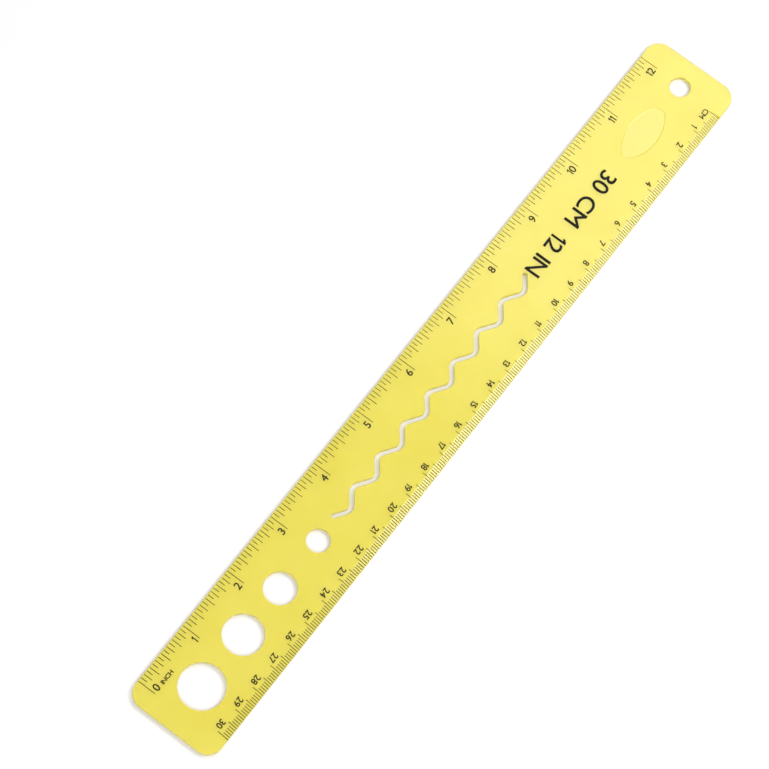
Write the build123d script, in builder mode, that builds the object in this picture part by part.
"""Flexible plastic ruler, 30 cm and 12 inch, with drawing circles, a wave slot and a hanging hole.

The origin is under the middle of the ruler, on the face that it lies on. +X runs along the ruler
towards the hanging hole, +Y points at the inch edge and +Z points out of the printed face.
"""
from build123d import *
from math import floor
import os

# The moulded strip.
length = 322.0
width = 38.0
thickness = 2.0
corner_radius = 6.0
rim_radius = 0.25

# The bevel along the centimetre edge. It stops short of both ends, so each end keeps a full step.
bevel_width = 3.0
thin_edge = 0.8
bevel_overrun = 0.5

# Drawing circles: distance of the centre from the inch-zero end, and diameter.
circles = [(19.2, 17.5), (42.9, 15.5), (64.3, 12.5), (86.6, 9.0)]

# Hanging hole, with its centre measured from the other end.
hang_hole_diameter = 8.0
hang_hole_inset = 11.0

# Wave slot: a zigzag with rounded corners, as one groove right through the strip.
wave_start = 103.0
wave_pitch = 15.07
wave_rise_run = 7.0
wave_height = 5.6
wave_troughs = 8
wave_lead_in = 5.8
wave_lead_out = 5.3
wave_corner_radius = 3.0
wave_slot_width = 1.8

# Shallow oval panel sunk into the printed face. Two long side arcs meet two tip arcs.
panel_inset = 35.0
panel_length = 24.6
panel_width = 12.2
panel_side_radius = 19.0
panel_depth = 0.12

# Scales. Each zero is measured from the end where its scale starts.
inch = 25.4
inch_parts = 16
inch_zero = 7.0
inch_end_room = 10.0
centimetre = 10.0
centimetre_parts = 10
cm_zero = 12.2
cm_end_room = 9.5

# Print: how thick the ink stands, the width of a line and how far each line reaches from its edge.
ink = 0.04
line_width = 0.3
edge_gap = 0.1
inch_reach = {"whole": 7.7, "half_quarter": 4.6, "eighth": 3.9, "sixteenth": 2.8}
cm_reach = {"whole": 4.6, "half": 3.8, "millimetre": 2.8}

# Numerals and words: their height, the width of a stroke, and the space between two characters.
inch_digit_height = 3.0
inch_digit_top = 5.1
inch_digit_gap = 1.1
cm_digit_height = 2.5
cm_digit_top = 4.2
cm_digit_gap = 1.1
digit_stroke = 0.38
inch_word_height = 1.7
inch_word_gap = 4.4
cm_word_height = 2.2
word_stroke = 0.3
lettering = "30 CM  12 IN"
lettering_height = 6.5
lettering_stroke = 0.9
lettering_centre_inset = 81.2
letter_spacing = 0.17

# A stick alphabet on a box one unit high and `wide` across. Each stroke is a corner radius and its
# points: 0.0 keeps the corners sharp. Closed rings are drawn as two halves that meet.
wide = 0.58
half = wide / 2
soft = 0.22
alphabet = {
    "0": [(0.28, (half, 1), (0, 1), (0, 0), (half, 0)), (0.28, (half, 1), (wide, 1), (wide, 0), (half, 0))],
    "1": [(0.0, (0, 0.76), (0.26, 1), (0.26, 0))],
    "2": [(soft, (0, 0.74), (0, 1), (wide, 1), (wide, 0.55), (0, 0)), (0.0, (0, 0), (wide, 0))],
    "3": [
        (soft, (0, 0.77), (0, 1), (wide, 1), (wide, 0.53), (0.2, 0.53)),
        (soft, (0.2, 0.53), (wide, 0.53), (wide, 0), (0, 0), (0, 0.23)),
    ],
    "4": [(0.0, (0.46, 0), (0.46, 1), (0, 0.3)), (0.0, (0, 0.3), (wide, 0.3))],
    "5": [
        (0.0, (0.53, 1), (0.05, 1), (0.03, 0.57)),
        (soft, (0.03, 0.57), (wide, 0.6), (wide, 0), (0, 0), (0, 0.23)),
    ],
    "6": [
        (soft, (wide, 0.77), (wide, 1), (0, 1), (0, 0), (half, 0)),
        (soft, (half, 0), (wide, 0), (wide, 0.58), (0, 0.58)),
    ],
    "7": [(0.0, (0, 1), (wide, 1), (0.2, 0))],
    "8": [
        (soft, (half, 1), (0.03, 1), (0.03, 0.54), (half, 0.54)),
        (soft, (half, 1), (wide - 0.03, 1), (wide - 0.03, 0.54), (half, 0.54)),
        (soft, (half, 0.54), (0, 0.54), (0, 0), (half, 0)),
        (soft, (half, 0.54), (wide, 0.54), (wide, 0), (half, 0)),
    ],
    "9": [
        (soft, (0, 0.23), (0, 0), (wide, 0), (wide, 1), (half, 1)),
        (soft, (half, 1), (0, 1), (0, 0.42), (wide, 0.42)),
    ],
    "C": [(soft, (wide, 0.77), (wide, 1), (0, 1), (0, 0), (wide, 0), (wide, 0.23))],
    "H": [(0.0, (0, 0), (0, 1)), (0.0, (wide, 0), (wide, 1)), (0.0, (0, 0.5), (wide, 0.5))],
    "I": [(0.0, (0, 0), (0, 1))],
    "M": [(0.0, (0, 0), (0, 1), (0.38, 0.3), (0.76, 1), (0.76, 0))],
    "N": [(0.0, (0, 0), (0, 1), (wide, 0), (wide, 1))],
    " ": [],
}

left_end = -length / 2
right_end = length / 2
inch_edge = width / 2
cm_edge = -width / 2
bevel_line = cm_edge + bevel_width
inch_origin = left_end + inch_zero
cm_origin = right_end - cm_zero
inch_count = floor((length - inch_zero - inch_end_room) / inch)
cm_count = floor((length - cm_zero - cm_end_room) / centimetre)
bevel_start = cm_origin - cm_count * centimetre - bevel_overrun
bevel_stop = cm_origin + bevel_overrun


def wave_route():
    """Corners of the zigzag: a low corner, then a high one, once in every pitch."""
    low = -wave_height / 2
    high = wave_height / 2
    fall_run = wave_pitch - wave_rise_run
    first = left_end + wave_start
    last = first + (wave_troughs - 1) * wave_pitch
    route = [(first - wave_lead_in, low + wave_height * wave_lead_in / fall_run)]
    for turn in range(wave_troughs):
        x = first + turn * wave_pitch
        route.append((x, low))
        if turn < wave_troughs - 1:
            route.append((x + wave_rise_run, high))
    route.append((last + wave_lead_out, low + wave_height * wave_lead_out / wave_rise_run))
    return route


def inch_lines(name):
    """X of every inch line of one length: the longest kind that falls on a place wins it."""
    steps = {"whole": inch_parts, "half_quarter": 4, "eighth": 2, "sixteenth": 1}
    longer = [steps[other] for other in steps if steps[other] > steps[name]]
    marks = [k for k in range(inch_count * inch_parts + 1) if k % steps[name] == 0]
    return [inch_origin + k * inch / inch_parts for k in marks if all(k % step for step in longer)]


def cm_lines(name):
    """X of every centimetre line of one length, counted from the hanging-hole end."""
    steps = {"whole": centimetre_parts, "half": 5, "millimetre": 1}
    longer = [steps[other] for other in steps if steps[other] > steps[name]]
    marks = [k for k in range(cm_count * centimetre_parts + 1) if k % steps[name] == 0]
    return [cm_origin - k * centimetre / centimetre_parts for k in marks if all(k % step for step in longer)]


def character_width(character):
    """Width of one character on the unit box; a space is as wide as half a numeral."""
    return max([x for radius, *points in alphabet[character] for x, y in points], default=half)


def text_width(text, height, stroke):
    """Overall width of a line of text, outside edge to outside edge."""
    scale = height - stroke
    gaps = (len(text) - 1) * (letter_spacing * height + stroke)
    return sum(character_width(character) for character in text) * scale + gaps + stroke


def written(text, height, stroke, left, bottom, turn=1):
    """Sketch of a line of text from its left foot; turn is -1 where it reads from the far side."""
    scale = height - stroke
    pen = left + turn * stroke / 2
    foot = bottom + turn * stroke / 2
    with BuildSketch(Plane.XY, mode=Mode.PRIVATE) as line_of_text:
        for character in text:
            for radius, *points in alphabet[character]:
                route = [(pen + turn * x * scale, foot + turn * y * scale) for x, y in points]
                with BuildLine():
                    if radius:
                        FilletPolyline(*route, radius=radius * scale)
                    else:
                        Polyline(*route)
                    offset(amount=stroke / 2, kind=Kind.ARC, side=Side.BOTH)
                make_face()
            pen += turn * (character_width(character) * scale + letter_spacing * height + stroke)
    return line_of_text.sketch_local


def finish(part, name):
    """Label a finished piece and write it out."""
    part.label = name
    export_step(part, f"parts/{name}.step")
    print(name, len(part.solids()), "solids", round(part.volume, 3), "mm3")


os.makedirs("parts", exist_ok=True)

# The strip is one moulding: outline, circles, wave slot and hanging hole go right through it.
with BuildPart() as ruler_body:
    with BuildSketch(Plane.XY):
        RectangleRounded(length, width, corner_radius)
        for from_end, diameter in circles:
            with Locations((left_end + from_end, 0)):
                Circle(diameter / 2, mode=Mode.SUBTRACT)
        with Locations((right_end - hang_hole_inset, 0)):
            Circle(hang_hole_diameter / 2, mode=Mode.SUBTRACT)
        with BuildLine():
            FilletPolyline(*wave_route(), radius=wave_corner_radius)
            offset(amount=wave_slot_width / 2, kind=Kind.ARC, side=Side.BOTH)
        make_face(mode=Mode.SUBTRACT)
    extrude(amount=thickness)
    underside = ruler_body.faces().sort_by(Axis.Z)[0]
    printed_face = ruler_body.faces().sort_by(Axis.Z)[-1]
    fillet(underside.edges() + printed_face.edges(), radius=rim_radius)
    # The bevel is a wedge taken off the printed face.
    with BuildSketch(Plane.YZ.offset(bevel_start)):
        with BuildLine():
            Polyline(
                (bevel_line, thickness),
                (cm_edge, thin_edge),
                (cm_edge - bevel_width, thin_edge),
                (cm_edge - bevel_width, thickness + bevel_width),
                (bevel_line, thickness + bevel_width),
                close=True,
            )
        make_face()
    extrude(amount=bevel_stop - bevel_start, mode=Mode.SUBTRACT)
    # The oval is where two equal circles overlap, with both points rounded back to its length.
    side_offset = panel_side_radius - panel_width / 2
    tip_excess = panel_side_radius**2 - side_offset**2 - (panel_length / 2) ** 2
    tip_radius = tip_excess / (2 * panel_side_radius - panel_length)
    with BuildSketch(Plane.XY.offset(thickness)) as oval:
        with Locations((right_end - panel_inset, side_offset)):
            Circle(panel_side_radius)
        with Locations((right_end - panel_inset, -side_offset)):
            Circle(panel_side_radius, mode=Mode.INTERSECT)
        fillet(oval.vertices(), radius=tip_radius)
    extrude(amount=-panel_depth, mode=Mode.SUBTRACT)
finish(ruler_body.part, "ruler_body")

# Inch lines: flat strokes that start beside the rounded inch edge.
for kind, reach in inch_reach.items():
    start = inch_edge - rim_radius
    stroke = reach - rim_radius
    with BuildPart() as inch_print:
        with BuildSketch(Plane.XY.offset(thickness)):
            with Locations(*[(x, start - stroke / 2) for x in inch_lines(kind)]):
                Rectangle(line_width, stroke)
        extrude(amount=ink)
    finish(inch_print.part, f"inch_lines_{kind}")

# Centimetre lines: a film of ink that follows the flat and the bevel, kept only where a line is.
slope = (thickness - thin_edge) / bevel_width
film_edge = cm_edge + edge_gap
film_edge_height = thin_edge + edge_gap * slope
for kind, reach in cm_reach.items():
    inner = cm_edge + reach
    inner_height = min(thickness, thin_edge + reach * slope)
    surface = [(film_edge, film_edge_height), (inner, inner_height)]
    if reach > bevel_width:
        surface.insert(1, (bevel_line, thickness))
    film = surface + [(y, z + ink) for y, z in reversed(surface)]
    with BuildPart() as cm_print:
        for x in cm_lines(kind):
            with BuildSketch(Plane.YZ.offset(x - line_width / 2)):
                with BuildLine():
                    Polyline(*film, close=True)
                make_face()
        extrude(amount=line_width)
    finish(cm_print.part, f"cm_lines_{kind}")

# Inch numerals stand left of their line, and the zero and its unit stand right of it.
inch_baseline = inch_edge - inch_digit_top - inch_digit_height
with BuildPart() as inch_numerals:
    for number in range(inch_count + 1):
        room = text_width(str(number), inch_digit_height, digit_stroke)
        shift = inch_digit_gap if number == 0 else -inch_digit_gap - room
        with BuildSketch(Plane.XY.offset(thickness)):
            left = inch_origin + number * inch + shift
            add(written(str(number), inch_digit_height, digit_stroke, left, inch_baseline))
    extrude(amount=ink)
finish(inch_numerals.part, "inch_numerals")

with BuildPart() as inch_word:
    with BuildSketch(Plane.XY.offset(thickness)):
        add(written("INCH", inch_word_height, word_stroke, inch_origin + inch_word_gap, inch_baseline))
    extrude(amount=ink)
finish(inch_word.part, "inch_word")

# Centimetre numerals read from the other side, so they are turned half round.
with BuildPart() as cm_numerals:
    bottom = cm_edge + cm_digit_top + cm_digit_height
    for number in range(1, cm_count + 1):
        room = text_width(str(number), cm_digit_height, digit_stroke)
        left = cm_origin - number * centimetre + cm_digit_gap + room
        with BuildSketch(Plane.XY.offset(thickness)):
            add(written(str(number), cm_digit_height, digit_stroke, left, bottom, turn=-1))
    extrude(amount=ink)
finish(cm_numerals.part, "cm_numerals")

with BuildPart() as cm_word:
    with BuildSketch(Plane.XY.offset(thickness)):
        bottom = cm_edge + cm_digit_top + cm_word_height
        add(written("CM", cm_word_height, word_stroke, cm_origin, bottom, turn=-1))
    extrude(amount=ink)
finish(cm_word.part, "cm_word")

# Large lettering beside the wave slot, read from the hanging-hole end.
with BuildPart() as size_lettering:
    with BuildSketch(Plane.XY.offset(thickness)):
        room = text_width(lettering, lettering_height, lettering_stroke)
        left = right_end - lettering_centre_inset + room / 2
        add(written(lettering, lettering_height, lettering_stroke, left, lettering_height / 2, turn=-1))
    extrude(amount=ink)
finish(size_lettering.part, "size_lettering")
